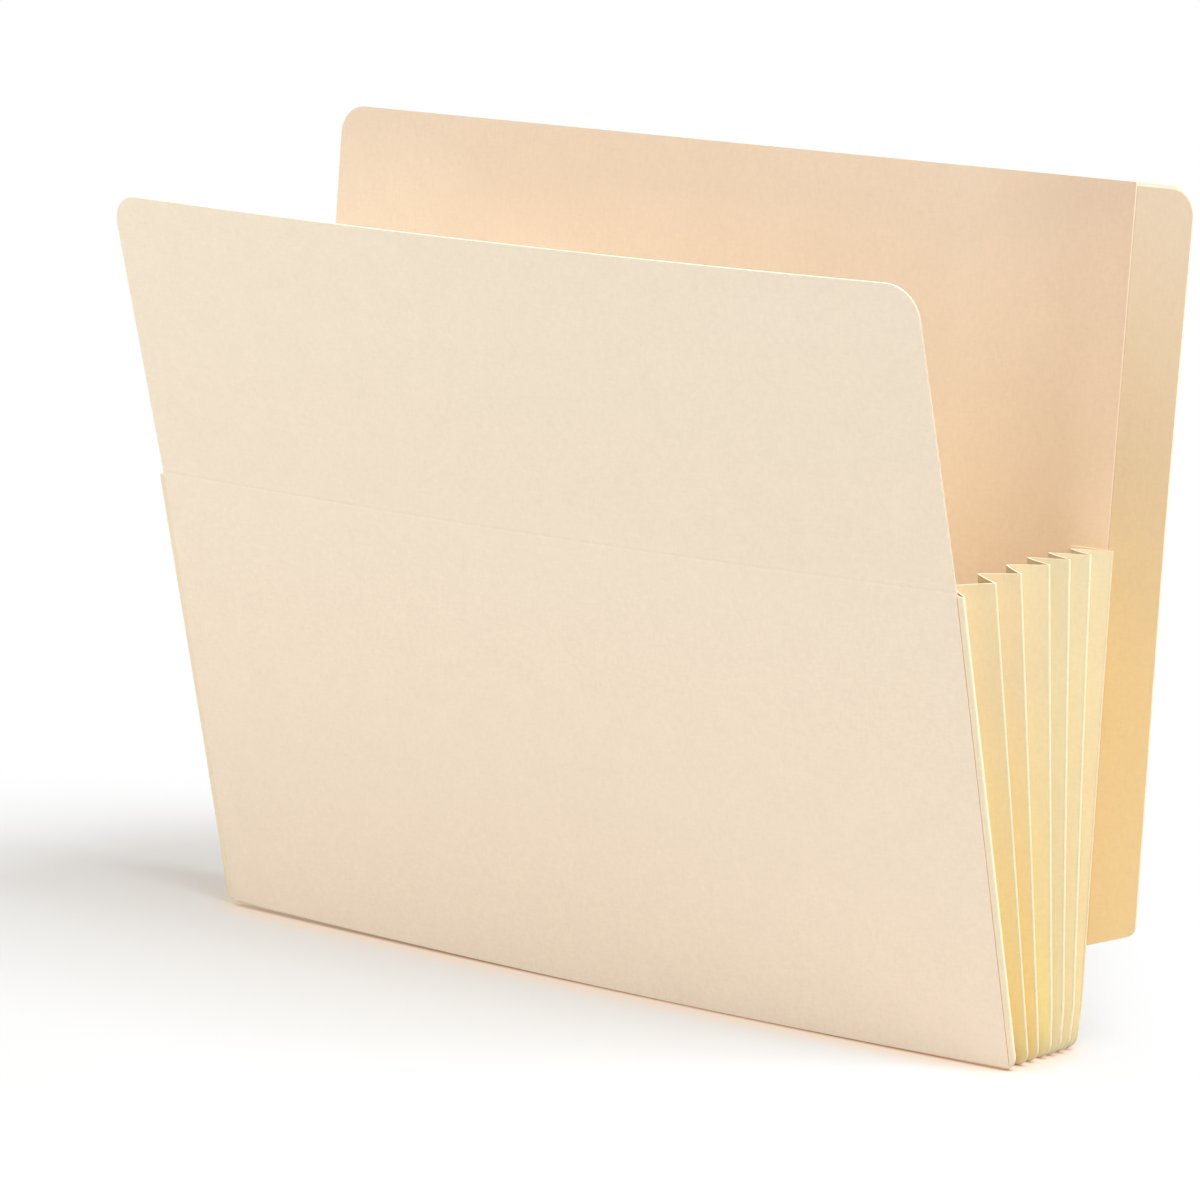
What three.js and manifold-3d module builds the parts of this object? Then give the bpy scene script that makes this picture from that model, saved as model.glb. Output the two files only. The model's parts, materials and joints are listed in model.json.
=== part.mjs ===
// End-tab file pocket: two paper panels joined by a six-pleat accordion gusset, standing fanned open.
// Millimetres, +Z up, +X towards the end tab, -Y towards the front. The origin is on the floor,
// under the middle of the fourth pleat ridge. The gusset's leaves turn on its creases like small doors,
// and every ridge swings about one line below the floor, where the planes of the ridges meet.

import * as THREE from 'three';
import { mergeVertices } from 'three/addons/utils/BufferGeometryUtils.js';
import Module from 'manifold-3d';

const wasm = await Module();
wasm.setup();

// Panels
const bodyWidth = 292.1;
const tabWidth = 19.05;
const backHeight = 242;
const frontHeight = 229;
const cornerRadius = 9.5;
const boardThickness = 0.56;
const frontBow = 4;
const flapExtraLean = THREE.MathUtils.degToRad(1.9);
const scoreGap = 0.5;
const frontLift = 1.1;
const backLift = 1;

// Back plies and end tab
const plyThickness = 0.4;
const tabPlyThickness = 0.25;
const tabFootHeight = 35.5;
const tabFootSlope = THREE.MathUtils.degToRad(19);
const tabFootRadius = 3;
const tabPlyDrop = 1;
const tabPlySeam = 0.3;

// Gusset
const gussetHeight = 140.5;
const leafWidth = 11.1;
const leafThickness = 0.3;
const creaseSize = 0.6;
const creaseOverhang = 2.1;
const cornerChamfer = 3.4;
const flangeWidth = 14;
const lipThickness = 0.35;

// Standing shape: how far the panels stand apart at the floor, how they lean, and each pleat's share
const floorDepth = 27;
const frontLean = THREE.MathUtils.degToRad(11.5);
const backLean = THREE.MathUtils.degToRad(6.15);
const pleatShares = [1.23, 1.01, 1.14, 0.83, 0.86, 0.93];
const middleRidge = 3;

// Clearances
const glueGap = 0.1;
const closedGap = 0.15;
const hingeOffset = 0.2;
const leafSetback = 0.6;
const valleyGap = 0.2;
const mitreGap = 0.25;

// Facets of the rounded outlines and of the bowed front
const cornerFacets = 6;
const bowFacets = 24;

const halfBody = bodyWidth / 2;
const halfCrease = creaseSize / 2;
const ridgeX = halfBody + creaseOverhang - halfCrease;
const outerX = halfBody + creaseOverhang;
const fanDepth = floorDepth / (Math.tan(frontLean) + Math.tan(backLean));
const ridgeAngles = anglesOfRidges();
const fanY = -fanDepth * Math.tan(ridgeAngles[middleRidge]);
const lastRidge = pleatShares.length;

const manila = new THREE.MeshStandardMaterial({ name: 'manila_board', color: 0xeed9be, roughness: 0.8 });
const manilaInside = new THREE.MeshStandardMaterial({ name: 'manila_ply', color: 0xefd0a8, roughness: 0.8 });
const gussetStock = new THREE.MeshStandardMaterial({ name: 'gusset_paper', color: 0xf3dca6, roughness: 0.85 });

function anglesOfRidges() {
  const total = pleatShares.reduce((sum, share) => sum + share, 0);
  const angles = [-frontLean];
  for (const share of pleatShares) {
    angles.push(angles[angles.length - 1] + (share / total) * (frontLean + backLean));
  }
  return angles;
}

// Distance from the fan axis to the floor, along a plane that leans by an angle
function floorRadius(angle) {
  return fanDepth / Math.cos(angle);
}

// A group whose XZ plane contains the fan axis and leans by an angle, with z measured from that axis
function fanGroup(angle) {
  const group = new THREE.Group();
  group.position.set(0, fanY, -fanDepth);
  group.rotation.x = -angle;
  return group;
}

function namedMesh(name, geometry, material) {
  const mesh = new THREE.Mesh(geometry, material);
  mesh.name = name;
  return mesh;
}

function toSolid(geometry) {
  const bare = geometry.index ? geometry.toNonIndexed() : geometry.clone();
  bare.deleteAttribute('normal');
  bare.deleteAttribute('uv');
  const merged = mergeVertices(bare, 1e-5);
  const vertProperties = new Float32Array(merged.attributes.position.array);
  const triVerts = new Uint32Array(merged.index.array);
  return new wasm.Manifold(new wasm.Mesh({ numProp: 3, vertProperties, triVerts }));
}

function toGeometry(solid) {
  const mesh = solid.getMesh();
  const geometry = new THREE.BufferGeometry();
  geometry.setAttribute('position', new THREE.BufferAttribute(new Float32Array(mesh.vertProperties), 3));
  geometry.setIndex(new THREE.BufferAttribute(new Uint32Array(mesh.triVerts), 1));
  return geometry;
}

function shapeOf(points) {
  return new THREE.Shape(points.map(([x, y]) => new THREE.Vector2(x, y)));
}

// A sheet in the XZ plane from an outline in x and z, between two values of y
function uprightSheet(shape, yLow, yHigh) {
  const geometry = new THREE.ExtrudeGeometry(shape, {
    depth: yHigh - yLow,
    bevelEnabled: false,
    curveSegments: cornerFacets,
  });
  geometry.rotateX(Math.PI / 2);
  geometry.translate(0, yHigh, 0);
  return geometry;
}

// How far the front stands forward of a flat sheet at x
function bowAt(x) {
  const radius = (halfBody ** 2 + frontBow ** 2) / (2 * frontBow);
  return Math.abs(x) >= halfBody ? 0 : Math.sqrt(radius ** 2 - x ** 2) - (radius - frontBow);
}

function bowStations() {
  const stations = [];
  for (let i = 0; i <= bowFacets; i += 1) {
    stations.push(-halfBody + (bodyWidth * i) / bowFacets);
  }
  return stations;
}

// A tall slab that follows the bow, between two distances behind it
function bowedSlab(yLow, yHigh, zLow, zHigh) {
  const stations = [-outerX, ...bowStations(), outerX];
  const near = stations.map((x) => [x, yLow - bowAt(x)]);
  const far = stations.map((x) => [x, yHigh - bowAt(x)]).reverse();
  const geometry = new THREE.ExtrudeGeometry(shapeOf([...near, ...far]), {
    depth: zHigh - zLow,
    bevelEnabled: false,
  });
  geometry.translate(0, 0, zLow);
  return toSolid(geometry);
}

// Everything above a height over the floor, or in a layer on it, seen from a leaning group
function floorLayer(angle, zLow, zHigh) {
  const span = bodyWidth + 2 * backHeight;
  const box = new THREE.BoxGeometry(span, span, zHigh - zLow);
  box.translate(0, 0, (zLow + zHigh) / 2);
  const group = fanGroup(angle);
  group.updateMatrixWorld(true);
  box.applyMatrix4(group.matrixWorld.clone().invert());
  return toSolid(box);
}

function aboveFloor(solid, angle) {
  return solid.intersect(floorLayer(angle, 0, 2 * backHeight));
}

// Panel outline with square feet and two rounded top corners
function panelOutline(left, right, bottom, top) {
  const shape = new THREE.Shape();
  shape.moveTo(left, bottom);
  shape.lineTo(right, bottom);
  shape.lineTo(right, top - cornerRadius);
  shape.absarc(right - cornerRadius, top - cornerRadius, cornerRadius, 0, Math.PI / 2, false);
  shape.lineTo(left + cornerRadius, top);
  shape.absarc(left + cornerRadius, top - cornerRadius, cornerRadius, Math.PI / 2, Math.PI, false);
  shape.closePath();
  return shape;
}

function bowedPanel(outline, yLow, yHigh) {
  const reach = 2 * frontBow + 1;
  const prism = toSolid(uprightSheet(outline, yLow - reach, yHigh + reach));
  return prism.intersect(bowedSlab(yLow, yHigh, 0, 2 * (fanDepth + frontHeight)));
}

// The front sheet's outer and inner faces, from the plane of the first ridge
const frontInner = -(leafThickness / 2 + glueGap);
const frontOuter = frontInner - boardThickness;

function frontPanel() {
  const foot = floorRadius(-frontLean);
  const outline = shapeOf([
    [-halfBody, foot + frontLift],
    [halfBody, foot + frontLift],
    [halfBody, foot + gussetHeight],
    [-halfBody, foot + gussetHeight],
  ]);
  const solid = bowedPanel(outline, frontOuter, frontInner);
  return namedMesh('front_panel', toGeometry(solid), manila);
}

// The flap turns on the outermost line of the score, on the sheet's outer face
function frontFlap() {
  const pivotY = frontOuter - frontBow;
  const pivotZ = floorRadius(-frontLean) + gussetHeight;
  const outline = panelOutline(-halfBody, halfBody, scoreGap, frontHeight - gussetHeight);
  const geometry = toGeometry(bowedPanel(outline, frontOuter, frontInner));
  geometry.translate(0, -pivotY, 0);
  const mesh = namedMesh('front_flap', geometry, manila);
  mesh.position.set(0, pivotY, pivotZ);
  mesh.rotation.x = flapExtraLean;
  return mesh;
}

// A U of constant width with bevelled bottom corners, inside the gusset's outermost line
function uOutline(foot, top, width) {
  const innerX = outerX - width;
  const turn = Math.max(cornerChamfer + width * Math.tan(Math.PI / 8), width);
  const outside = [
    [-outerX, top],
    [-outerX, foot + cornerChamfer],
    [-outerX + cornerChamfer, foot],
    [outerX - cornerChamfer, foot],
    [outerX, foot + cornerChamfer],
    [outerX, top],
  ];
  const rightInside = [[innerX, foot + turn], [outerX - turn, foot + width]];
  const rightCorner = turn > width ? rightInside : rightInside.slice(1);
  const leftCorner = rightCorner.map(([x, z]) => [-x, z]).reverse();
  return shapeOf([...outside, [innerX, top], ...rightCorner, ...leftCorner, [-innerX, top]]);
}

// The folded edge itself: a narrow U, flush with its flange on a glued side
function creaseSolid(angle, yLow, yHigh) {
  const foot = floorRadius(angle);
  const outline = uOutline(foot, foot + gussetHeight, creaseSize);
  return toSolid(uprightSheet(outline, yLow, yHigh));
}

function ridgeCrease(ridge) {
  const angle = ridgeAngles[ridge];
  const solid = aboveFloor(creaseSolid(angle, -halfCrease, halfCrease), angle);
  return namedMesh(`ridge_crease_${ridge}`, toGeometry(solid), gussetStock);
}

// The first pleat's glue flange follows the bowed front, and a lip closes it to the straight crease
function frontFlange() {
  const angle = -frontLean;
  const foot = floorRadius(angle);
  const halfLeaf = leafThickness / 2;
  const strip = toSolid(uprightSheet(uOutline(foot, foot + gussetHeight, flangeWidth), -2 * flangeWidth, flangeWidth));
  const bowed = strip.intersect(bowedSlab(-halfLeaf, halfLeaf, foot - 1, foot + gussetHeight + 1));
  const solid = bowed.add(creaseSolid(angle, -halfLeaf, halfCrease)).add(frontLip(angle, foot));
  return namedMesh('front_flange', toGeometry(aboveFloor(solid, angle)), gussetStock);
}

function frontLip(angle, foot) {
  const halfLeaf = leafThickness / 2;
  const stations = bowStations();
  const near = stations.map((x) => [x, -halfLeaf - bowAt(x)]);
  const geometry = new THREE.ExtrudeGeometry(shapeOf([...near, [halfBody, halfLeaf], [-halfBody, halfLeaf]]), {
    depth: 2 * frontBow,
    bevelEnabled: false,
  });
  geometry.translate(0, 0, foot - frontBow);
  return toSolid(geometry).intersect(floorLayer(angle, 0, lipThickness));
}

function backFlange() {
  const foot = floorRadius(backLean);
  const halfLeaf = leafThickness / 2;
  const strip = toSolid(uprightSheet(uOutline(foot, foot + gussetHeight, flangeWidth), -halfLeaf, halfLeaf));
  const solid = aboveFloor(strip.add(creaseSolid(backLean, -halfCrease, halfLeaf)), backLean);
  return namedMesh('back_flange', toGeometry(solid), gussetStock);
}

// The back plies, counted from the plane of the last ridge towards the rear
const liningFront = leafThickness / 2 + glueGap;
const liningRear = liningFront + plyThickness;
const rearFront = liningRear + glueGap;
const rearFace = rearFront + plyThickness;

// The tab's foot slopes up and outwards to a small rounded corner
function addTabFoot(shape, foot, innerX) {
  const outer = halfBody + tabWidth;
  const corner = foot + tabFootHeight;
  const centreX = outer - tabFootRadius;
  const centreZ = corner + (tabFootRadius * (1 - Math.sin(tabFootSlope))) / Math.cos(tabFootSlope);
  shape.lineTo(innerX, corner - (outer - innerX) * Math.tan(tabFootSlope));
  shape.absarc(centreX, centreZ, tabFootRadius, tabFootSlope - Math.PI / 2, 0, false);
}

function addTopRightCorner(shape, right, top) {
  shape.lineTo(right, top - cornerRadius);
  shape.absarc(right - cornerRadius, top - cornerRadius, cornerRadius, 0, Math.PI / 2, false);
}

function backSheet() {
  const foot = floorRadius(backLean);
  const top = foot + backHeight;
  const shape = new THREE.Shape();
  shape.moveTo(-halfBody, foot + backLift);
  shape.lineTo(halfBody, foot + backLift);
  addTabFoot(shape, foot, halfBody);
  addTopRightCorner(shape, halfBody + tabWidth, top);
  shape.lineTo(-halfBody + cornerRadius, top);
  shape.absarc(-halfBody + cornerRadius, top - cornerRadius, cornerRadius, Math.PI / 2, Math.PI, false);
  shape.closePath();
  return namedMesh('back_sheet', uprightSheet(shape, rearFront, rearFace), manila);
}

// The lining covers the body only, so its cut edge shows as the line beside the tab
function backLining() {
  const foot = floorRadius(backLean);
  const top = foot + backHeight;
  const shape = new THREE.Shape();
  shape.moveTo(-halfBody, foot + backLift);
  shape.lineTo(halfBody, foot + backLift);
  shape.lineTo(halfBody, top);
  shape.lineTo(-halfBody + cornerRadius, top);
  shape.absarc(-halfBody + cornerRadius, top - cornerRadius, cornerRadius, Math.PI / 2, Math.PI, false);
  shape.closePath();
  return namedMesh('back_lining', uprightSheet(shape, liningFront, liningRear), manilaInside);
}

function tabReinforcement() {
  const foot = floorRadius(backLean);
  const left = halfBody + tabPlySeam;
  const top = foot + backHeight - tabPlyDrop;
  const shape = new THREE.Shape();
  shape.moveTo(left, top);
  addTabFoot(shape, foot, left);
  addTopRightCorner(shape, halfBody + tabWidth, top);
  shape.closePath();
  return namedMesh('tab_reinforcement', uprightSheet(shape, liningRear - tabPlyThickness, liningRear), manila);
}

// A leaf that folds shut onto a flange turns on a line further from its ridge than the others
function hingeOffsetAt(ridge) {
  return ridge === 0 || ridge === lastRidge ? leafThickness + closedGap : hingeOffset;
}

// One pleat's measures on one of its two ridges. A leaf's plane leaves the ridge at an angle that brings
// it to the plane half-way to the next ridge, where its neighbour arrives from the other side.
function leafPlan(pleat, ridge) {
  const hinge = hingeOffsetAt(ridge);
  const foot = floorRadius(ridgeAngles[ridge]) + halfCrease;
  const tops = [pleat, pleat + 1].map((end) => floorRadius(ridgeAngles[end]) + gussetHeight);
  const mouth = (tops[0] + tops[1]) / 2;
  const rise = Math.tan((ridgeAngles[pleat + 1] - ridgeAngles[pleat]) / 2);
  const sine = (mouth * rise - hinge) / leafWidth;
  const angle = Math.asin(sine);
  const trim = (valleyGap / 2 + (leafThickness / 2) * Math.cos(angle)) / sine;
  const depth = ((foot * rise - hinge) / Math.tan(angle)) / (1 - rise / Math.tan(angle));
  const floorWidth = depth / Math.cos(angle);
  return { hinge, foot, top: tops[ridge - pleat], mouth, rise, sine, angle, trim, floorWidth };
}

// Where the leaves' mitred ends start, clear of the crease's bevelled corner
function mitreStart(plan) {
  const clip = cornerChamfer - creaseSize + (creaseSize + mitreGap) * Math.SQRT2;
  const offset = mitreGap / Math.SQRT2;
  return { clip, offset, width: (clip - offset) / (1 + Math.cos(plan.angle)) };
}

// Outline across (x) and up (y) a side leaf, whose width grows with the distance from the fan axis
function sideLeafOutline(plan) {
  const { clip, offset, width } = mitreStart(plan);
  const base = ((plan.foot + offset) * plan.rise - plan.hinge) / plan.sine - plan.trim;
  const end = base / (1 - plan.rise / plan.sine);
  return shapeOf([
    [leafSetback, plan.foot + clip - leafSetback * Math.cos(plan.angle)],
    [width, plan.foot + width + offset],
    [end, plan.foot + end + offset],
    [leafWidth - plan.trim, plan.mouth],
    [leafSetback, plan.top],
  ]);
}

// Outline along (x) and across (y) a bottom leaf, mitred at both ends
function bottomLeafOutline(plan) {
  const { clip, offset, width } = mitreStart(plan);
  const end = plan.floorWidth - plan.trim;
  const right = [
    [ridgeX - clip + leafSetback * Math.cos(plan.angle), leafSetback],
    [ridgeX - width - offset, width],
    [ridgeX - end - offset, end],
  ];
  return shapeOf([...right, ...right.map(([x, y]) => [-x, y]).reverse()]);
}

function leafMesh(name, outline, along, across, origin) {
  const geometry = new THREE.ExtrudeGeometry(outline, { depth: leafThickness, bevelEnabled: false });
  geometry.translate(0, 0, -leafThickness / 2);
  const mesh = namedMesh(name, geometry, gussetStock);
  const normal = new THREE.Vector3().crossVectors(along, across);
  mesh.quaternion.setFromRotationMatrix(new THREE.Matrix4().makeBasis(along, across, normal));
  mesh.position.copy(origin);
  return mesh;
}

// Three leaves on one ridge: they turn towards the next ridge behind (towards 1) or in front (-1)
function leavesOf(pleat, ridge) {
  const towards = ridge === pleat ? 1 : -1;
  const plan = leafPlan(pleat, ridge);
  const number = String(2 * pleat + (ridge === pleat ? 1 : 2)).padStart(2, '0');
  const up = new THREE.Vector3(0, 0, 1);
  const inwards = Math.cos(plan.angle);
  const aside = towards * plan.sine;
  const sides = [['right', 1], ['left', -1]].map(([side, sign]) => {
    const across = new THREE.Vector3(-sign * inwards, aside, 0);
    const origin = new THREE.Vector3(sign * ridgeX, towards * plan.hinge, 0);
    return leafMesh(`gusset_${side}_leaf_${number}`, sideLeafOutline(plan), across, up, origin);
  });
  const risen = new THREE.Vector3(0, aside, inwards);
  const origin = new THREE.Vector3(0, towards * plan.hinge, plan.foot);
  const xAxis = new THREE.Vector3(1, 0, 0);
  return [...sides, leafMesh(`gusset_bottom_leaf_${number}`, bottomLeafOutline(plan), xAxis, risen, origin)];
}

function piecesOfRidge(ridge) {
  if (ridge === 0) {
    return [frontPanel(), frontFlange(), frontFlap()];
  }
  if (ridge === lastRidge) {
    return [backSheet(), backLining(), tabReinforcement(), backFlange()];
  }
  return [ridgeCrease(ridge)];
}

function filePocket() {
  const pocket = new THREE.Group();
  ridgeAngles.forEach((angle, ridge) => {
    const group = fanGroup(angle);
    group.add(...piecesOfRidge(ridge));
    if (ridge > 0) {
      group.add(...leavesOf(ridge - 1, ridge));
    }
    if (ridge < lastRidge) {
      group.add(...leavesOf(ridge, ridge));
    }
    pocket.add(group);
  });
  return pocket;
}

export default filePocket();
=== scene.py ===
import json
import math

import bmesh
import bpy
from mathutils import Matrix, Vector


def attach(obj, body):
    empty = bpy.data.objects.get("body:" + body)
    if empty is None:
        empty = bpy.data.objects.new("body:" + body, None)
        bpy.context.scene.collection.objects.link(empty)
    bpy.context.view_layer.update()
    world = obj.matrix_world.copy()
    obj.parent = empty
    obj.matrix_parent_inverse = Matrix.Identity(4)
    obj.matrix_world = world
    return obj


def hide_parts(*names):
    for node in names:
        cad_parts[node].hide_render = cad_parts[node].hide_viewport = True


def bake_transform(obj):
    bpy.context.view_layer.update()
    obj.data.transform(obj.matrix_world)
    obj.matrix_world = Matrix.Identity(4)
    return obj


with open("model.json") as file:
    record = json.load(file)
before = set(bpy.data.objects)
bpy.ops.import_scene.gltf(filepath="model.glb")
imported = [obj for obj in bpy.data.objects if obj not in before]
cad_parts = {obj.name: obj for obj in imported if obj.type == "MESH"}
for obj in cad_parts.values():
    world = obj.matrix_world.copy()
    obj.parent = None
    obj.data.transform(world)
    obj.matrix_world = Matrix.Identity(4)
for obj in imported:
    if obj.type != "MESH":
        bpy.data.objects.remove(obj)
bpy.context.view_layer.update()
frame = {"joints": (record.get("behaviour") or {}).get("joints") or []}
mm = 0.001

# Camera.
# It stands in front, to the right and a little above, a long way off, so that the pocket's lines stay
# nearly parallel.
camera_place = Vector((1047.02, -1294.85, 444.16)) * mm
camera_heading = math.radians(39.313)
camera_dip = math.radians(11.309)
camera_roll = math.radians(0.103)
camera_data = bpy.data.cameras.new("camera")
camera_data.sensor_width = 36.0
camera_data.lens = 175.98
camera_data.clip_start = 0.05
camera_data.clip_end = 60.0
camera = bpy.data.objects.new("camera", camera_data)
bpy.context.collection.objects.link(camera)
camera.matrix_world = (
    Matrix.Translation(camera_place)
    @ Matrix.Rotation(camera_heading, 4, "Z")
    @ Matrix.Rotation(math.pi / 2 - camera_dip, 4, "X")
    @ Matrix.Rotation(camera_roll, 4, "Z")
)
bpy.context.scene.camera = camera
bpy.context.scene.view_settings.view_transform = "Standard"

# Floor.
# A plain white table top. It takes the pocket's soft shadow, and close beside the pocket a painted shade and
# painted warm bounce light, most of all where it touches. Further off it is the same white as the backdrop.
floor_half_size = 8.0
returned_light = (0.49, 0.49, 0.48)
open_shadow = (0.395, 0.441, 0.481)
# The near and contact tones are painted: painted shade and painted warm bounce light beside the pocket, and
# painted contact shade where it touches.
near_shadow = (0.385, 0.345, 0.305)
contact_shadow = (0.40, 0.24, 0.14)
open_glow = (0.36, 0.295, 0.238)
near_glow = (0.45, 0.36, 0.28)
contact_glow = (0.21, 0.135, 0.085)
near_reach = 15 * mm
contact_reach = 2.4 * mm
backwards = (-0.634, 0.774, 0)
rightwards = (0.774, 0.634, 0)


def new_material(name):
    material = bpy.data.materials.new(name)
    material.use_nodes = True
    material.node_tree.nodes.clear()
    return material, material.node_tree


def add_node(tree, kind, inputs=None, **settings):
    """A node with its settings, and with its inputs fed by other nodes' outputs or by plain values."""
    node = tree.nodes.new(kind)
    for name, setting in settings.items():
        setattr(node, name, setting)
    for key, value in (inputs or {}).items():
        socket = node.inputs[key]
        if isinstance(value, bpy.types.NodeSocket):
            tree.links.new(value, socket)
        elif socket.type == "RGBA":
            socket.default_value = (*value, 1)
        else:
            socket.default_value = value
    return node


def maths(tree, kind, first, second):
    return add_node(tree, "ShaderNodeMath", {0: first, 1: second}, operation=kind).outputs[0]


def vector_maths(tree, kind, first, second):
    return add_node(tree, "ShaderNodeVectorMath", {0: first, 1: second}, operation=kind).outputs


def mixed(tree, factor, first, second):
    """A colour that turns from the first into the second as the factor grows from 0 to 1."""
    colours = {"Factor": factor, "A": first, "B": second}
    return add_node(tree, "ShaderNodeMix", colours, data_type="RGBA").outputs["Result"]


def smooth_rise(tree, value, start, end):
    """Grows gently from 0 to 1 while the value goes from start to end."""
    ends = {"Value": value, "From Min": start, "From Max": end}
    return add_node(tree, "ShaderNodeMapRange", ends, interpolation_type="SMOOTHSTEP").outputs[0]


def seen_directly(tree):
    """A value of 1 for rays that show the background itself: from the camera, mirrored or through glass."""
    rays = add_node(tree, "ShaderNodeLightPath").outputs
    either_ray = maths(tree, "MAXIMUM", rays["Is Camera Ray"], rays["Is Glossy Ray"])
    return maths(tree, "MAXIMUM", either_ray, rays["Is Transmission Ray"])


def floor_white():
    """The table top. What the pocket gets back from it is plain, so its tones are only for direct rays."""
    material, tree = new_material("floor_white")
    direct = seen_directly(tree)
    place = add_node(tree, "ShaderNodeTexCoord").outputs["Object"]

    def open_beyond(reach, closed, opened):
        """A value of 0 beneath and beside the pocket that grows to 1 at a distance from it."""
        shelter = add_node(tree, "ShaderNodeAmbientOcclusion", {"Distance": reach}, samples=8)
        return smooth_rise(tree, shelter.outputs["AO"], closed, opened)

    def fading(measure, start, end, direction=(0, 0, 0)):
        """A value that grows from 0 to 1 between two distances from the pocket's middle."""
        away = vector_maths(tree, measure, place, direction)["Value"]
        return smooth_rise(tree, away, start, end)

    # Painted shade and painted warm bounce light beside the pocket, and painted contact shade where it
    # touches, set by how sheltered the floor is.
    beside = open_beyond(near_reach, 0.45, 0.97)
    touched = open_beyond(contact_reach, 0.40, 0.90)
    shadow = mixed(tree, touched, contact_shadow, mixed(tree, beside, near_shadow, open_shadow))
    glow = mixed(tree, touched, contact_glow, mixed(tree, beside, near_glow, open_glow))
    table = add_node(tree, "ShaderNodeBsdfPrincipled", {
        "Base Color": mixed(tree, direct, returned_light, shadow),
        "Roughness": 0.9,
        "Specular IOR Level": 0.0,
        "Emission Color": glow,
        "Emission Strength": direct,
    })
    around = fading("LENGTH", 0.27, 0.46)
    behind = fading("DOT_PRODUCT", 0.15, 0.26, backwards)
    beyond_tab = fading("DOT_PRODUCT", 0.118, 0.155, rightwards)
    far_off = maths(tree, "MAXIMUM", maths(tree, "MAXIMUM", around, behind), beyond_tab)
    surface = add_node(tree, "ShaderNodeMixShader", {
        "Fac": maths(tree, "MULTIPLY", far_off, direct),
        1: table.outputs[0],
        2: add_node(tree, "ShaderNodeEmission").outputs[0],
    })
    add_node(tree, "ShaderNodeOutputMaterial", {"Surface": surface.outputs[0]})
    return material


bm = bmesh.new()
bmesh.ops.create_grid(bm, x_segments=4, y_segments=4, size=floor_half_size)
floor_mesh = bpy.data.meshes.new("floor")
bm.to_mesh(floor_mesh)
bm.free()
floor = bpy.data.objects.new("floor", floor_mesh)
bpy.context.collection.objects.link(floor)
floor_mesh.materials.append(floor_white())

# Studio light.
# Two soft lamps stand high on the right, a broad one low on the left and a faint one at the side, and
# white walls return the rest. The backdrop that the camera sees is plain white.
lit_middle = Vector((0, 0, 0.12))
world = bpy.data.worlds.new("studio")
bpy.context.scene.world = world
world.use_nodes = True
studio = world.node_tree
studio.nodes.clear()
walls = add_node(studio, "ShaderNodeBackground", {"Color": (1, 1, 1), "Strength": 0.535})
backdrop = add_node(studio, "ShaderNodeBackground", {"Color": (1, 1, 1), "Strength": 1.0})
surroundings = add_node(studio, "ShaderNodeMixShader", {
    "Fac": seen_directly(studio),
    1: walls.outputs[0],
    2: backdrop.outputs[0],
})
add_node(studio, "ShaderNodeOutputWorld", {"Surface": surroundings.outputs[0]})


def soft_lamp(name, towards, distance, width, watts):
    """A square lamp that looks at the pocket's middle from a direction."""
    data = bpy.data.lights.new(name, "AREA")
    data.shape = "SQUARE"
    data.size = width
    data.energy = watts
    lamp = bpy.data.objects.new(name, data)
    bpy.context.collection.objects.link(lamp)
    direction = Vector(towards).normalized()
    lamp.location = lit_middle + direction * distance
    lamp.rotation_mode = "QUATERNION"
    lamp.rotation_quaternion = (-direction).to_track_quat("-Z", "Y")


soft_lamp("near_right_lamp", towards=(0.46, -0.24, 0.86), distance=2.0, width=0.8, watts=19.6)
soft_lamp("far_right_lamp", towards=(0.60, 0.06, 0.80), distance=2.0, width=0.8, watts=28.5)
soft_lamp("left_lamp", towards=(-0.85, -0.55, 0.22), distance=2.4, width=1.2, watts=30.5)
soft_lamp("side_lamp", towards=(0.95, -0.15, 0.30), distance=2.2, width=1.0, watts=6.0)

# Back sheet.
# One sheet of manila board, cut with rounded top corners. It runs on past the lining as the end tab,
# whose foot slopes up and outwards. The tab's free edge curls forward a little.
joints = {joint["name"]: joint for joint in frame["joints"]}
fan_axis = Vector(joints["expansion"]["pos_m"])
half_body = 146.05 * mm
tab_width = 19.05 * mm
tab_outer = half_body + tab_width
back_height = 242.5 * mm
back_lift = 1 * mm
back_near = 0.75 * mm
back_thickness = 0.4 * mm
back_corner = 8.5 * mm
tab_foot_height = 35.5 * mm
tab_foot_slope = math.radians(19)
tab_foot_cut = 2.9441 * mm
tab_curl = 1.6 * mm
tab_curl_start = half_body - 2 * mm
tab_curl_rise = 150 * mm
board_spacing = 18 * mm
tab_spacing = 4 * mm
height_spacing = 12 * mm
low_tone_waver = 8 * mm
painted_tab_shade_start = 90 * mm
merge_distance = 1e-7
soft_edge_angle = math.radians(40)


def clamped(share):
    return min(1.0, max(0.0, share))


def ridge_lean(ridge):
    """How far a ridge of the gusset leans backwards, as an angle about the fan axis."""
    leaf = 2 * ridge if ridge else 1
    axis = Vector(joints[f"right_leaf_{leaf:02d}_turn"]["axis"])
    up = axis if ridge else -axis
    return math.atan2(up.y, up.z)


def on_plane(lean, x, aft, radius):
    """A point from its place across, behind and up a plane through the fan axis that leans backwards."""
    across = aft * math.cos(lean) + radius * math.sin(lean)
    rise = radius * math.cos(lean) - aft * math.sin(lean)
    return fan_axis + Vector((x, across, rise))


def foot_radius(lean):
    """The distance from the fan axis to the floor, up a plane that leans backwards."""
    return -fan_axis.z / math.cos(lean)


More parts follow.
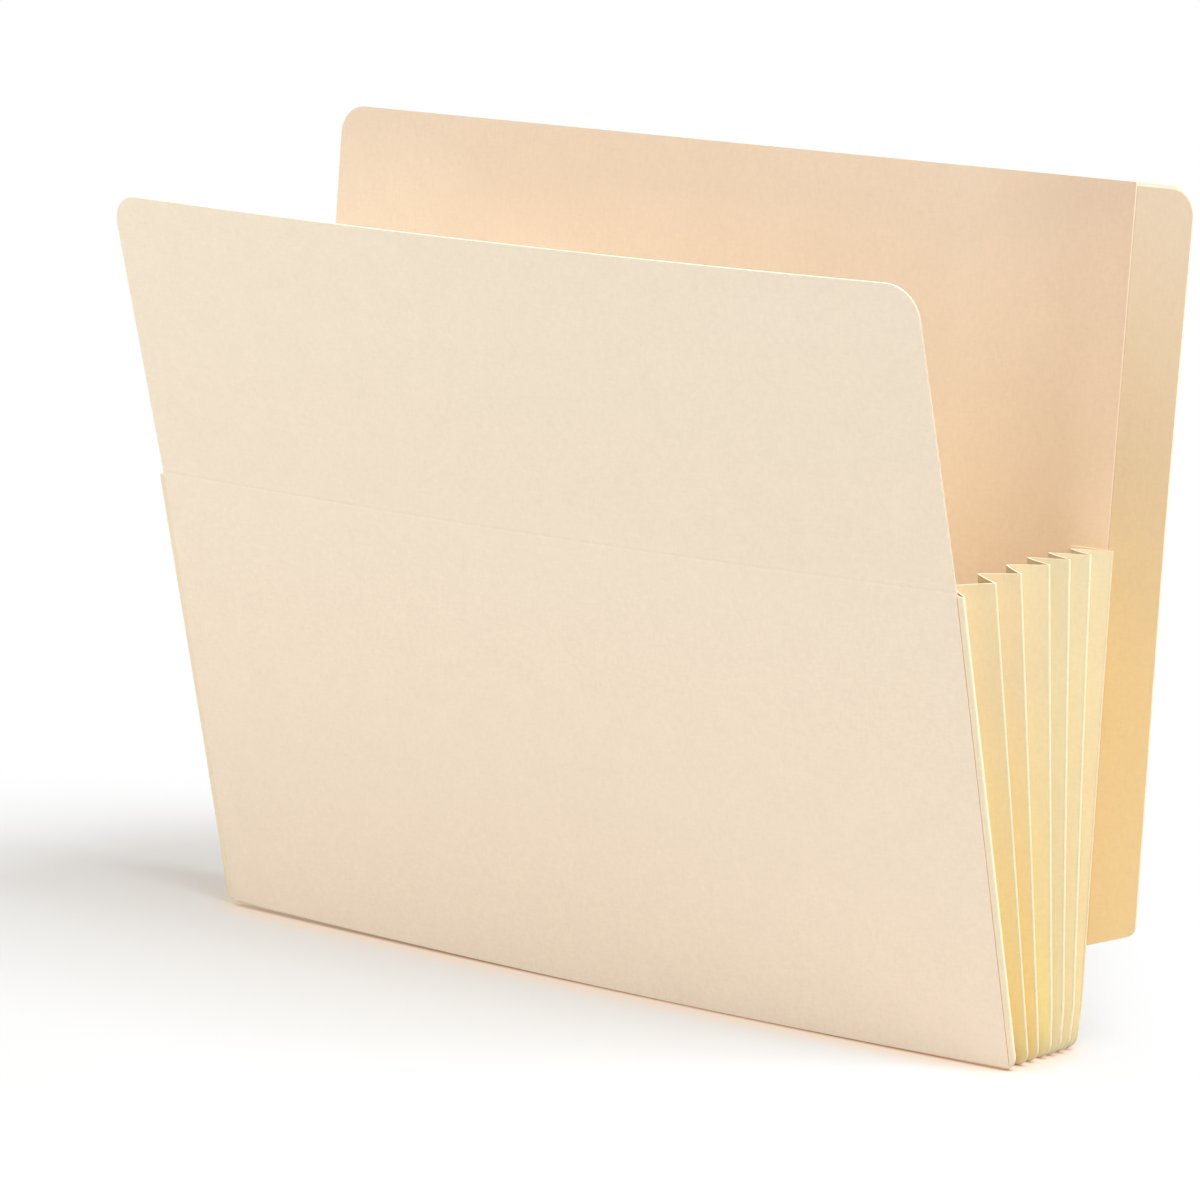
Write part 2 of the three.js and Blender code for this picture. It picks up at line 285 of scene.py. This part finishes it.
def paper_surface(name, colour, painted_low_tone=None, low_tone_heights=None, painted_tab_shade=None, fibre=0.018, mottle=0.008):
    """Pulp paper: cloudy where the pulp lies thicker, with short fibres, fine tooth and sparse flecks.
    The painted low tone is a colour painted in low down for the light there: painted shade where it is
    darker and painted bounce light where it is lighter. It gives way to the paper's colour between two
    heights. The painted tab shade darkens it towards the tab, where shade falls."""
    material, tree = new_material(name)
    place = add_node(tree, "ShaderNodeTexCoord").outputs["Object"]

    def clouds(size, detail, stretch=(1, 1, 1)):
        stretched = add_node(tree, "ShaderNodeMapping", {"Vector": place, "Scale": stretch}).outputs[0]
        spots = {"Vector": stretched, "Scale": 1 / size, "Detail": detail}
        return add_node(tree, "ShaderNodeTexNoise", spots).outputs["Fac"]

    def ranged(value, low, high, start=0.3, end=0.7):
        spread = {"Value": value, "From Min": start, "From Max": end, "To Min": low, "To Max": high}
        return add_node(tree, "ShaderNodeMapRange", spread).outputs[0]

    def summed(total, *others):
        for other in others:
            total = maths(tree, "ADD", total, other)
        return total

    formation = clouds(size=9 * mm, detail=3)
    broad = clouds(size=70 * mm, detail=1)
    level_fibres = clouds(size=0.8 * mm, detail=5, stretch=(0.35, 1, 1))
    upright_fibres = clouds(size=0.9 * mm, detail=4, stretch=(1, 1, 0.35))
    flecks = clouds(size=1.6 * mm, detail=1)
    fibre_tone = summed(ranged(level_fibres, -fibre, fibre), ranged(upright_fibres, -fibre, fibre))
    tone = summed(ranged(formation, -mottle, mottle), fibre_tone)
    tone = maths(tree, "SUBTRACT", tone, ranged(flecks, 0.0, 0.02, 0.70, 0.78))
    warmer = (colour[0] * 0.998, colour[1] * 0.992, colour[2] * 0.976)
    pulp = mixed(tree, ranged(broad, 0, 1, 0.35, 0.65), colour, warmer)
    # Painted light by height: the painted low tone low down, and painted shade towards the tab.
    if painted_low_tone:
        axes = add_node(tree, "ShaderNodeSeparateXYZ", {0: place}).outputs
        height = summed(axes["Z"], ranged(broad, -low_tone_waver, low_tone_waver, 0.35, 0.65))
        pulp = mixed(tree, ranged(height, 0, 1, *low_tone_heights), painted_low_tone, pulp)
        if painted_tab_shade:
            near_tab = ranged(axes["X"], 0, 1, painted_tab_shade_start, half_body)
            dimmed = mixed(tree, near_tab, (1, 1, 1), painted_tab_shade)
            pulp = vector_maths(tree, "MULTIPLY", pulp, dimmed)["Vector"]
    shade = add_node(tree, "ShaderNodeVectorMath", {0: pulp, "Scale": summed(tone, 1.0)}, operation="SCALE")
    tooth = summed(level_fibres, upright_fibres, formation)
    bump = add_node(tree, "ShaderNodeBump", {"Height": tooth, "Strength": 0.35, "Distance": 0.06 * mm})
    paper = add_node(tree, "ShaderNodeBsdfPrincipled", {
        "Base Color": shade.outputs[0],
        "Roughness": ranged(level_fibres, 0.72, 0.9),
        "Specular IOR Level": 0.25,
        "Normal": bump.outputs[0],
    })
    add_node(tree, "ShaderNodeOutputMaterial", {"Surface": paper.outputs[0]})
    return material


def piece_from(bm, name, materials):
    """The bmesh as a piece that sits at the origin, smooth except along its cut edges."""
    for face in bm.faces:
        face.smooth = True
    for edge in bm.edges:
        edge.smooth = len(edge.link_faces) == 2 and edge.calc_face_angle() < soft_edge_angle
    mesh = bpy.data.meshes.new(name)
    bm.to_mesh(mesh)
    bm.free()
    for material in materials:
        mesh.materials.append(material)
    piece = bpy.data.objects.new(name, mesh)
    bpy.context.collection.objects.link(piece)
    return piece


def cut_along(bm, axis, stations):
    """Lines across a flat sheet, so that it can bend there."""
    normal = Vector((0, 0, 0))
    normal[axis] = 1
    for station in stations:
        whole = bm.verts[:] + bm.edges[:] + bm.faces[:]
        at = normal * station
        bmesh.ops.bisect_plane(bm, geom=whole, dist=merge_distance, plane_co=at, plane_no=normal)


def evenly(low, high, step):
    """Stations between two places, about a step apart, without the places themselves."""
    count = max(1, round((high - low) / step))
    return [low + (high - low) * i / count for i in range(1, count)]


def oblong(left, right, low, high):
    """One flat face, in X and Y until it is stood up."""
    bm = bmesh.new()
    bmesh.ops.create_grid(bm, x_segments=1, y_segments=1, size=0.5)
    for vert in bm.verts:
        vert.co.x = left + (vert.co.x + 0.5) * (right - left)
        vert.co.y = low + (vert.co.y + 0.5) * (high - low)
    return bm


def round_corners(bm, corners, radius, segments=8):
    """Rounds the outline at the vertices that lie nearest to the given corners."""
    chosen = [min(bm.verts, key=lambda vert: (vert.co.xy - Vector(corner)).length) for corner in corners]
    bmesh.ops.bevel(
        bm, geom=chosen, offset=radius, offset_type="OFFSET", segments=segments,
        profile=0.5, affect="VERTICES", material=-1,
    )


def stand_up(bm, thickness, place):
    """Gives a flat sheet its thickness and stands it up. Place turns across, behind and up into a point."""
    grown = bmesh.ops.extrude_face_region(bm, geom=bm.faces[:])
    risen = [item for item in grown["geom"] if isinstance(item, bmesh.types.BMVert)]
    bmesh.ops.translate(bm, verts=risen, vec=(0, 0, thickness))
    bmesh.ops.recalc_face_normals(bm, faces=bm.faces[:])
    for face in bm.faces:
        face.material_index = 1 if abs(face.normal.z) < 0.5 else 0
    for vert in bm.verts:
        vert.co = place(vert.co.x, vert.co.z, vert.co.y)
    bmesh.ops.recalc_face_normals(bm, faces=bm.faces[:])


back_lean = ridge_lean(6)
back_foot = foot_radius(back_lean)
back_top = back_foot + back_height


def on_back(x, aft, radius):
    """A point of the back. The tab's edge curls forward, most of all at half height."""
    height = radius - back_foot
    outwards = clamped((x - tab_curl_start) / (tab_outer - tab_curl_start))
    bulge = math.sin(math.pi * min(1.0, height / back_height)) * clamped(height / tab_curl_rise)
    return on_plane(back_lean, x, aft - tab_curl * outwards * bulge, radius)


def sloped_tab_foot(bm):
    """Cuts the tab's foot along its slope and rounds its outer corner."""
    corner = Vector((tab_outer, back_foot + tab_foot_height, 0))
    normal = Vector((math.sin(tab_foot_slope), -math.cos(tab_foot_slope), 0))
    faces = [face for face in bm.faces if face.calc_center_median().x > half_body]
    edges = {edge for face in faces for edge in face.edges}
    verts = {vert for face in faces for vert in face.verts}
    bmesh.ops.bisect_plane(
        bm, geom=list(verts) + list(edges) + faces, dist=merge_distance,
        plane_co=corner, plane_no=normal, clear_outer=True,
    )
    round_corners(bm, [corner.xy], tab_foot_cut)


manila_board = paper_surface("manila_board", (0.93, 0.80, 0.64))
# The tab's front takes a darker copy of the manila, painted shade, with a lighter and warmer painted low
# tone, painted warm bounce light. The sheet itself is one colour.
tab_face_painted_light = paper_surface("tab_face_painted_light", (0.71, 0.575, 0.43), (0.935, 0.705, 0.385), (0.10, 0.23))
board_edge = paper_surface("board_edge", (0.83, 0.75, 0.62))

bm = oblong(-half_body, tab_outer, back_foot + back_lift, back_top)
cut_along(bm, 0, [half_body])
sloped_tab_foot(bm)
round_corners(bm, [(-half_body, back_top), (tab_outer, back_top)], back_corner)
cut_along(bm, 0, evenly(-half_body, half_body, board_spacing) + evenly(half_body, tab_outer, tab_spacing))
cut_along(bm, 1, evenly(back_foot, back_top, height_spacing))
stand_up(bm, back_thickness, lambda x, aft, radius: on_back(x, back_near + aft, radius))
# The tab's front faces take the copy with painted shade and painted warm light.
for face in bm.faces:
    if face.material_index == 0 and face.normal.y < 0 and face.calc_center_median().x > half_body:
        face.material_index = 2
back_sheet = piece_from(bm, "back_board", [manila_board, board_edge, tab_face_painted_light])
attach(back_sheet, "back")
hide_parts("back_sheet")

# Back lining.
# A second ply of manila, glued inside the body of the back. Its cut edge stands beside the tab as a fine
# light line, because the knife pressed the ply down along it.
lining_near = 0.25 * mm
lining_thickness = 0.4 * mm
lining_cut = half_body - 0.28 * mm
lining_press = 0.2 * mm
# The lining is painted lighter and warmer low down, painted bounce light, and darker towards the tab,
# painted shade.
manila_lining = paper_surface(
    "manila_lining", (0.735, 0.595, 0.455), (0.955, 0.78, 0.56), (0.14, 0.23), painted_tab_shade=(0.87, 0.80, 0.75),
)
lining_edge = paper_surface("lining_edge", (0.88, 0.70, 0.53))


def on_lining(x, aft, radius):
    """A point of the lining. Its front face slopes off between the pressed line and the cut edge."""
    at_cut_edge = x > (lining_cut + half_body) / 2 and aft < lining_thickness / 2
    return on_back(x, lining_near + aft + (lining_press if at_cut_edge else 0), radius)


bm = oblong(-half_body, half_body, back_foot + back_lift, back_top)
round_corners(bm, [(-half_body, back_top)], back_corner)
cut_along(bm, 0, evenly(-half_body, half_body, board_spacing) + [lining_cut])
cut_along(bm, 1, evenly(back_foot, back_top, height_spacing))
stand_up(bm, lining_thickness, on_lining)
for face in bm.faces:
    if face.calc_center_median().x > lining_cut:
        face.material_index = 1
back_lining = piece_from(bm, "back_lining_ply", [manila_lining, lining_edge])
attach(back_lining, "back")
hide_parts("back_lining")

# Tab reinforcement.
# A thinner ply of manila, glued to the tab's front beside the lining. It stops a millimetre short of the
# tab's top edge.
tab_ply_near = 0.4 * mm
tab_ply_thickness = 0.25 * mm
tab_ply_left = half_body + 0.15 * mm
tab_ply_top = back_top - 1 * mm
tab_ply_corner = 7.5 * mm
bm = oblong(tab_ply_left, tab_outer, back_foot + back_lift, tab_ply_top)
sloped_tab_foot(bm)
round_corners(bm, [(tab_outer, tab_ply_top)], tab_ply_corner)
cut_along(bm, 0, evenly(tab_ply_left, tab_outer, tab_spacing))
cut_along(bm, 1, evenly(back_foot, back_top, height_spacing))
stand_up(bm, tab_ply_thickness, lambda x, aft, radius: on_back(x, tab_ply_near + aft, radius))
# The ply takes the same copy, with painted shade and painted warm light.
tab_ply = piece_from(bm, "tab_ply", [tab_face_painted_light, board_edge])
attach(tab_ply, "back")
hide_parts("tab_reinforcement")

# Ridges of the gusset.
# The gusset is one strip of yellow-cream paper, folded lengthways into six pleats. Each ridge is a rounded
# fold that runs down one side, round a rounded corner, along the floor and up the other side.
outer_x = 148.15 * mm
gusset_height = 140.5 * mm
paper_thickness = 0.3 * mm
front_bow = 4 * mm
bow_radius = (half_body**2 + front_bow**2) / (2 * front_bow)
fold_radius = 0.52 * mm
fold_half_width = 0.45 * mm
fold_half_widths = {0: 0.59 * mm, 6: 0.30 * mm}
fold_middles = {0: -0.14 * mm, 6: -0.15 * mm}
fold_wrap = math.radians(100)
fold_steps = 10
fold_corner = 4.0 * mm
fold_side = outer_x - fold_radius
side_steps = 14
corner_steps = 8
floor_steps = 24
warm_shade_below = 0.75 * mm
mouth_above = 100 * mm
leans = [ridge_lean(ridge) for ridge in range(7)]
side_swells = (0, 0, 0.3, 1.1, 2.2, 2.7, 2.1)
swell_rise = 150 * mm
swell_start = 110 * mm
swell_run = 24 * mm
swell_foot = 13 * mm
swell_at_floor = 0.15
swell_falling = 1.3
left_draw = 0.6 * mm
left_draw_low = 0.65 * mm
left_draw_pleats = 3
left_lift = 0.9 * mm
left_lift_rise = 60 * mm
# The painted warm shade is an orange paint where shade falls: in the crevice beside the front sheet's right
# edge and at the folds' feet on the floor.
painted_warm_shade = paper_surface("painted_warm_shade", (0.95, 0.60, 0.34))
flange_paper = paper_surface("flange_paper", (0.90, 0.77, 0.56))
worn_fold = paper_surface("worn_fold", (0.81, 0.70, 0.49), fibre=0.03)
cut_paper = paper_surface("cut_paper", (0.95, 0.88, 0.72))


def bow(x):
    """How far the front stands forward of a flat sheet."""
    if abs(x) >= half_body:
        return 0.0
    return math.sqrt(bow_radius**2 - x * x) - (bow_radius - front_bow)


def forward(ridge, x):
    """How far the foremost ridge follows the front's bow along the floor, as a step forward."""
    return Vector((0, -bow(x) if ridge == 0 else 0, 0))


def eased(share):
    return share * share * (3 - 2 * share)


def swollen(point):
    """The rear pleats' sides stand out a little, most of all low down, and the front's left end is drawn in
    and stands a little off the floor. Gives the point with that added."""
    angle = math.atan2(point.y - fan_axis.y, point.z - fan_axis.z)
    ridge = sum(angle > lean for lean in leans[1:6])
    part = clamped((angle - leans[ridge]) / (leans[ridge + 1] - leans[ridge]))
    swell = (side_swells[ridge] + (side_swells[ridge + 1] - side_swells[ridge]) * part) * mm
    lowness = max(0.0, 1 - point.z / swell_rise)
    foot = clamped(point.z / swell_foot)
    side = clamped((abs(point.x) - swell_start) / swell_run)
    off_floor = swell_at_floor + (1 - swell_at_floor) * foot * (2 - foot)
    swell *= lowness**swell_falling * off_floor * eased(side)
    frontness = max(0.0, 1 - (ridge + part) / left_draw_pleats)
    leftwards = (half_body - point.x) / (2 * half_body) * frontness
    inwards = (left_draw + left_draw_low * lowness) * leftwards
    raised = left_lift * max(0.0, 1 - point.z / left_lift_rise) * leftwards
    return point + Vector((math.copysign(swell, point.x) + inwards, 0, raised))


def fold_line(lean):
    """Stations along the middle of a ridge's fold, from the right top to the left top: x, radius and the way
    out of the pocket."""
    foot = foot_radius(lean)
    low = foot + fold_radius
    corner = low + fold_corner
    top = foot + gusset_height
    right = [(fold_side, top + (corner - top) * i / side_steps, (1, 0)) for i in range(side_steps)]
    for i in range(corner_steps + 1):
        turn = math.pi / 2 * i / corner_steps
        x = fold_side - fold_corner * (1 - math.cos(turn))
        radius = corner - fold_corner * math.sin(turn)
        right.append((x, radius, (math.cos(turn), -math.sin(turn))))
    flat = fold_side - fold_corner
    across = [(flat * (1 - 2 * i / floor_steps), low, (0, -1)) for i in range(1, floor_steps)]
    left = [(-x, radius, (-out[0], out[1])) for x, radius, out in reversed(right)]
    return right + across + left


def formed_strip(along, across, surface, facing):
    """A strip of paper as a grid: surface gives a point for each pair of steps, facing a point outside it.
    Its cut edge at the mouth gets the second material."""
    bm = bmesh.new()
    bmesh.ops.create_grid(bm, x_segments=along, y_segments=across, size=0.5)
    for vert in bm.verts:
        i = round((vert.co.x + 0.5) * along)
        j = round((vert.co.y + 0.5) * across)
        vert.co = surface(i, j)
    bm.normal_update()
    nearest = min(bm.faces, key=lambda face: (face.calc_center_median() - facing).length)
    if nearest.normal.dot(facing - nearest.calc_center_median()) < 0:
        bmesh.ops.reverse_faces(bm, faces=bm.faces[:])
    bmesh.ops.solidify(bm, geom=bm.faces[:], thickness=paper_thickness)
    bm.normal_update()
    for face in bm.faces:
        if face.normal.z > 0.8 and face.calc_center_median().z > mouth_above:
            face.material_index = 1
    return bm


def fold_bead(ridge):
    """The rounded fold of one ridge. The first and last are offset, to lie flush with their flanges."""
    lean = leans[ridge]
    line = fold_line(lean)
    far_below = -1.0
    middle = fold_middles.get(ridge, 0)
    half_width = fold_half_widths.get(ridge, fold_half_width)

    def surface(i, j):
        x, radius, out = line[i]
        turn = fold_wrap * (2 * j / fold_steps - 1)
        outwards = fold_radius * math.cos(turn)
        aft = middle + half_width * math.sin(turn)
        point = on_plane(lean, x + out[0] * outwards, aft, radius + out[1] * outwards)
        return swollen(point + forward(ridge, x))

    x, radius, out = line[len(line) // 2]
    return formed_strip(len(line) - 1, fold_steps, surface, on_plane(lean, x, 0, radius + far_below))


ridge_bodies = ["front"] + [f"crease_{ridge}" for ridge in range(1, 6)] + ["back"]
for ridge in range(7):
    bm = fold_bead(ridge)
    # Each fold's foot at the floor takes the painted warm shade.
    for face in bm.faces:
        if face.calc_center_median().z < warm_shade_below:
            face.material_index = 2
    fold_paper = worn_fold if ridge else flange_paper
    bead = piece_from(bm, f"ridge_fold_{ridge}", [fold_paper, cut_paper, painted_warm_shade])
    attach(bead, ridge_bodies[ridge])
    if 0 < ridge < 6:
        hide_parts(f"ridge_crease_{ridge}")

# Leaves of the gusset.
# Twelve leaves on each side and twelve along the floor, each 11 mm wide. Neighbours meet in a rounded
# valley, and the side leaves meet the floor leaves along mitred folds at the corners.
leaf_width = 11.1 * mm
leaf_belly = 0.25 * mm
leaf_root = 0.97 * fold_half_width
valley_inner = 0.1 * mm
leaf_steps = 8
nose_steps = 4
outside_reach = 5 * mm
# The gusset is one strip of paper, yet each pleat gets its own copy of it, set brighter or dimmer for the
# light that reaches it, with a lighter and warmer painted low tone: painted light and shade.
outer_pleat_lit_copy = paper_surface(
    "outer_pleat_painted_light", (0.785, 0.65, 0.415), (0.93, 0.765, 0.40), (0.02, 0.105), mottle=0.006,
)
second_pleat_lit_copy = paper_surface(
    "second_pleat_painted_light", (0.815, 0.68, 0.45), (0.98, 0.80, 0.405), (0.02, 0.105), mottle=0.006,
)
third_pleat_lit_copy = paper_surface(
    "third_pleat_painted_light", (0.775, 0.66, 0.435), (0.965, 0.83, 0.46), (0.02, 0.105), mottle=0.006,
)
rear_pleat_lit_copy = paper_surface(
    "rear_pleats_painted_light", (0.785, 0.69, 0.475), (0.975, 0.86, 0.57), (0.02, 0.13), mottle=0.006,
)
pleat_lit_copies = [outer_pleat_lit_copy, second_pleat_lit_copy, third_pleat_lit_copy, rear_pleat_lit_copy, rear_pleat_lit_copy, rear_pleat_lit_copy]


def pleat_frame(pleat):
    """The leans of a pleat's two ridges and of its valley, and the radius of the fold at its foot."""
    middle = (leans[pleat] + leans[pleat + 1]) / 2
    return leans[pleat], leans[pleat + 1], middle, foot_radius(middle) + fold_radius


def valley_depth(pleat, radius, extra_gap=0.0):
    """How deep the valley lies inside the line of the ridges, at a distance from the fan axis."""
    near, far, middle, foot = pleat_frame(pleat)
    half_gap = radius * math.tan((far - near) / 2) + extra_gap / 2
    return math.sqrt(max(0.0, leaf_width**2 - half_gap**2))


def side_valley(pleat, share):
    """A point of the valley at the right side, from the floor's mitred corner (0) to the mouth (1)."""
    near, far, middle, foot = pleat_frame(pleat)
    foot_depth = valley_depth(pleat, foot)
    low = foot + foot_depth
    top = (foot_radius(near) + foot_radius(far)) / 2 + gusset_height
    radius = low + (top - low) * share
    depth = valley_depth(pleat, radius) + (foot_depth - valley_depth(pleat, low)) * (1 - share) ** 4
    return on_plane(middle, fold_side - depth, 0, radius)


def floor_valley(pleat, share):
    """A point of the valley along the floor, from its right corner (0) to its left one (1)."""
    near, far, middle, foot = pleat_frame(pleat)
    x = (fold_side - valley_depth(pleat, foot)) * (1 - 2 * share)
    ahead = forward(pleat, x)
    return on_plane(middle, x, 0, foot + valley_depth(pleat, foot, ahead.length)) + ahead / 2


def side_ridge(ridge, share):
    """A point in the middle of a ridge's fold at the right side, from its corner (0) to the mouth (1)."""
    lean = leans[ridge]
    foot = foot_radius(lean)
    corner = foot + fold_radius + fold_corner
    low = corner - fold_corner * math.sin(math.pi / 4)
    radius = low + (foot + gusset_height - low) * share
    if radius >= corner:
        return on_plane(lean, fold_side, 0, radius)
    turn = math.asin(min(1.0, (corner - radius) / fold_corner))
    return on_plane(lean, fold_side - fold_corner * (1 - math.cos(turn)), 0, radius)


def floor_ridge(ridge, share):
    """A point in the middle of a ridge's fold along the floor, from its right corner (0) to its left (1)."""
    lean = leans[ridge]
    end = fold_side - fold_corner * (1 - math.cos(math.pi / 4))
    x = end * (1 - 2 * share)
    turn = math.asin(clamped((abs(x) - fold_side + fold_corner) / fold_corner))
    radius = foot_radius(lean) + fold_radius + fold_corner * (1 - math.cos(turn))
    return on_plane(lean, x, 0, radius) + forward(ridge, x)


def leaf_of(pleat, ridge, ridge_at, valley_at, shares, mirror):
    """One leaf from its ridge to its valley. The leaf behind a valley also carries its round nose."""
    behind = ridge > pleat
    aft = Vector((0, -1, 0)) if behind else Vector((0, 1, 0))
    across = leaf_steps + (nose_steps if behind else 0)
    other = pleat if behind else pleat + 1

    def side_of(from_ridge, share, towards):
        """A leaf's line from ridge to valley: its ends, its direction, and the way its outside faces."""
        start = ridge_at(from_ridge, share)
        end = valley_at(pleat, share)
        along = (end - start).normalized()
        return start, end, along, (towards - towards.dot(along) * along).normalized()

    def surface(i, j):
        start, end, along, out = side_of(ridge, shares[i], aft)
        if j <= leaf_steps:
            part = j / leaf_steps
            belly = leaf_belly * math.sin(math.pi * part)
            point = start.lerp(end, part) + out * (leaf_root * (1 - part) - valley_inner * part - belly)
        else:
            there = side_of(other, shares[i], -aft)
            inwards = (along + there[2]).normalized()
            part = 2 * (j - leaf_steps) / nose_steps
            bend = (-out).slerp(inwards, part) if part <= 1 else inwards.slerp(-there[3], part - 1)
            point = end + bend * valley_inner
        point = swollen(point)
        return Vector((-point.x, point.y, point.z)) if mirror else point

    start, end, along, out = side_of(ridge, 0.5, aft)
    outside = start.lerp(end, 0.5) + out * outside_reach
    if mirror:
        outside.x = -outside.x
    return formed_strip(len(shares) - 1, across, surface, outside)


# Stations along the leaves lie close together at the mitred corners, where ridge and valley turn.
corner_shares = [0, 0.004, 0.009, 0.015, 0.022, 0.03, 0.05, 0.08]
side_shares = corner_shares + [0.08 + 0.92 * i / 18 for i in range(1, 19)]
end_shares = [0, 0.001, 0.0025, 0.0045, 0.007, 0.01, 0.014, 0.025, 0.05]
other_end_shares = [1 - share for share in reversed(end_shares)]
floor_shares = end_shares + [0.05 + 0.9 * i / 24 for i in range(1, 24)] + other_end_shares
for pleat in range(6):
    for ridge in (pleat, pleat + 1):
        number = f"{2 * pleat + (1 if ridge == pleat else 2):02d}"
        for side in ("right", "left", "bottom"):
            if side == "bottom":
                bm = leaf_of(pleat, ridge, floor_ridge, floor_valley, floor_shares, False)
            else:
                bm = leaf_of(pleat, ridge, side_ridge, side_valley, side_shares, side == "left")
            leaf = piece_from(bm, f"{side}_pleat_leaf_{number}", [pleat_lit_copies[pleat], cut_paper])
            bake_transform(leaf)
            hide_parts(f"gusset_{side}_leaf_{number}")

# Glue flanges of the gusset.
# The strip's two long margins, 14 mm wide, glued flat inside the front and on the back. A narrow line of
# each shows beside the panels, and the front one is drawn level with the front sheet by its glue.
flange_width = 14 * mm
flange_side = outer_x - 0.4 * mm
flange_near = -0.15 * mm
flange_corner = 3.6 * mm
flange_lifts = {0: 0.95 * mm, 6: 0.4 * mm}
flange_spacing = 10 * mm
warm_shade_width = 0.1 * mm
glue_step = 0.58 * mm
glue_step_right = 0.12 * mm
glue_step_left = 0.06 * mm
step_offsets = [0, 0.04, 0.08, 0.12, 0.8]


def flange(ridge, bend, name, body, node):
    """A flange: a flat strip, open in the middle, along the sides and the foot of the front or the back."""
    lean = leans[ridge]
    foot = foot_radius(lean)
    top = foot + gusset_height
    low = foot + flange_lifts[ridge]
    inner_side = flange_side - flange_width
    inner_foot = foot + flange_width
    bm = oblong(-flange_side, flange_side, low, top)
    round_corners(bm, [(-flange_side, low), (flange_side, low)], flange_corner, segments=6)
    cut_along(bm, 0, [-inner_side, inner_side])
    cut_along(bm, 1, [inner_foot])
    centres = [(face, face.calc_center_median()) for face in bm.faces]
    middle = [face for face, centre in centres if abs(centre.x) < inner_side and centre.y > inner_foot]
    bmesh.ops.delete(bm, geom=middle, context="FACES")
    cut_along(bm, 0, evenly(-half_body, half_body, flange_spacing))
    cut_along(bm, 0, [end * (half_body + offset * mm) for end in (-1, 1) for offset in step_offsets])
    cut_along(bm, 1, evenly(foot, top, height_spacing))

    def on_flange(x, aft, radius):
        return swollen(on_plane(lean, x, flange_near + aft - bend(x), radius))

    stand_up(bm, paper_thickness, on_flange)
    # The front flange's narrow band beside the front sheet's edge takes the painted warm shade of the
    # crevice.
    for face in bm.faces:
        if ridge == 0 and half_body < face.calc_center_median().x < half_body + warm_shade_width:
            face.material_index = 2
    strip = piece_from(bm, name, [flange_paper, cut_paper, painted_warm_shade])
    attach(strip, body)
    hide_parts(node)


def front_bend(x):
    """The front's bow, and beside the front sheet a step forward until the strip is almost level with it."""
    width = glue_step_right if x > 0 else glue_step_left
    return bow(x) + glue_step * eased(clamped((abs(x) - half_body) / width))


flange(0, front_bend, "front_glue_flange", "front", "front_flange")
flange(6, lambda x: 0.0, "back_glue_flange", "back", "back_flange")

# Front sheet.
# One sheet of manila board that bows gently forward. A pressed score crosses it level with the gusset's
# top, so that the part above can be folded down.
front_height = 229 * mm
front_lift = 0.8 * mm
board_thickness = 0.56 * mm
front_inner = -0.25 * mm
front_corner = 9.5 * mm
front_spacing = 9 * mm
lower_spacing = 14 * mm
front_lean = leans[0]
front_foot = foot_radius(front_lean)
front_top = front_foot + front_height
flap_lean = math.radians(1.9)
bend_half_width = 0.7 * mm
score_radius = front_foot + gusset_height
score_lift = 0.9 * mm
groove_depth = 0.06 * mm
groove_width = 0.35 * mm
lip_height = 0.02 * mm
lip_width = 0.45 * mm
lip_above = 0.9 * mm
score_offsets = [-2, -1, -0.6, -0.2, 0.15, 0.4, 0.6, 0.8, 1, 1.2, 1.4, 1.65, 2, 2.4, 3.2]
warm_shade_up_to = 138 * mm
# The front's lower part takes a painted low tone, a little darker and yellower: painted shade.
front_board = paper_surface("front_board", (0.928, 0.805, 0.647), (0.925, 0.765, 0.60), (0.03, 0.21))
# A darker copy of the edge colour for the front's right cut edge above the gusset: painted shade.
right_cut_edge_painted_shade = paper_surface("right_cut_edge_painted_shade", (0.69, 0.565, 0.435))


def flap_bend(above):
    """How far the flap stands forward of the lower part's plane, at a height above the score."""
    if above < -bend_half_width:
        return 0.0
    if above > bend_half_width:
        return above * math.tan(flap_lean)
    return (above + bend_half_width) ** 2 / (4 * bend_half_width) * math.tan(flap_lean)


def score_groove(above):
    """The score's pressed line, a shallow groove with a raised lip above it."""
    groove = groove_depth * math.exp(-((above / groove_width) ** 2))
    lip = lip_height * math.exp(-(((above - lip_above) / lip_width) ** 2))
    return lip - groove


def on_front(x, aft, radius):
    above = radius - score_radius - score_lift
    ahead = aft + bow(x) + flap_bend(above) + score_groove(above)
    return swollen(on_plane(front_lean, x, front_inner - ahead, radius))


bm = oblong(-half_body, half_body, front_foot + front_lift, front_top)
round_corners(bm, [(-half_body, front_top), (half_body, front_top)], front_corner)
cut_along(bm, 0, evenly(-half_body, half_body, front_spacing))
score_lines = [score_radius + offset * mm for offset in score_offsets]
below_score = evenly(front_foot, score_lines[0], lower_spacing)
above_score = evenly(score_lines[-1], front_top, height_spacing)
cut_along(bm, 1, below_score + score_lines + above_score)
stand_up(bm, board_thickness, on_front)
# The front's right cut edge takes the painted warm shade beside the gusset, and above it a darker edge
# paint, painted shade.
for face in bm.faces:
    if face.material_index == 1 and face.normal.x > 0.5:
        face.material_index = 2 if face.calc_center_median().z < warm_shade_up_to else 3
front_sheet = piece_from(bm, "front_sheet", [front_board, board_edge, painted_warm_shade, right_cut_edge_painted_shade])
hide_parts("front_panel", "front_flap")
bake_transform(front_sheet)
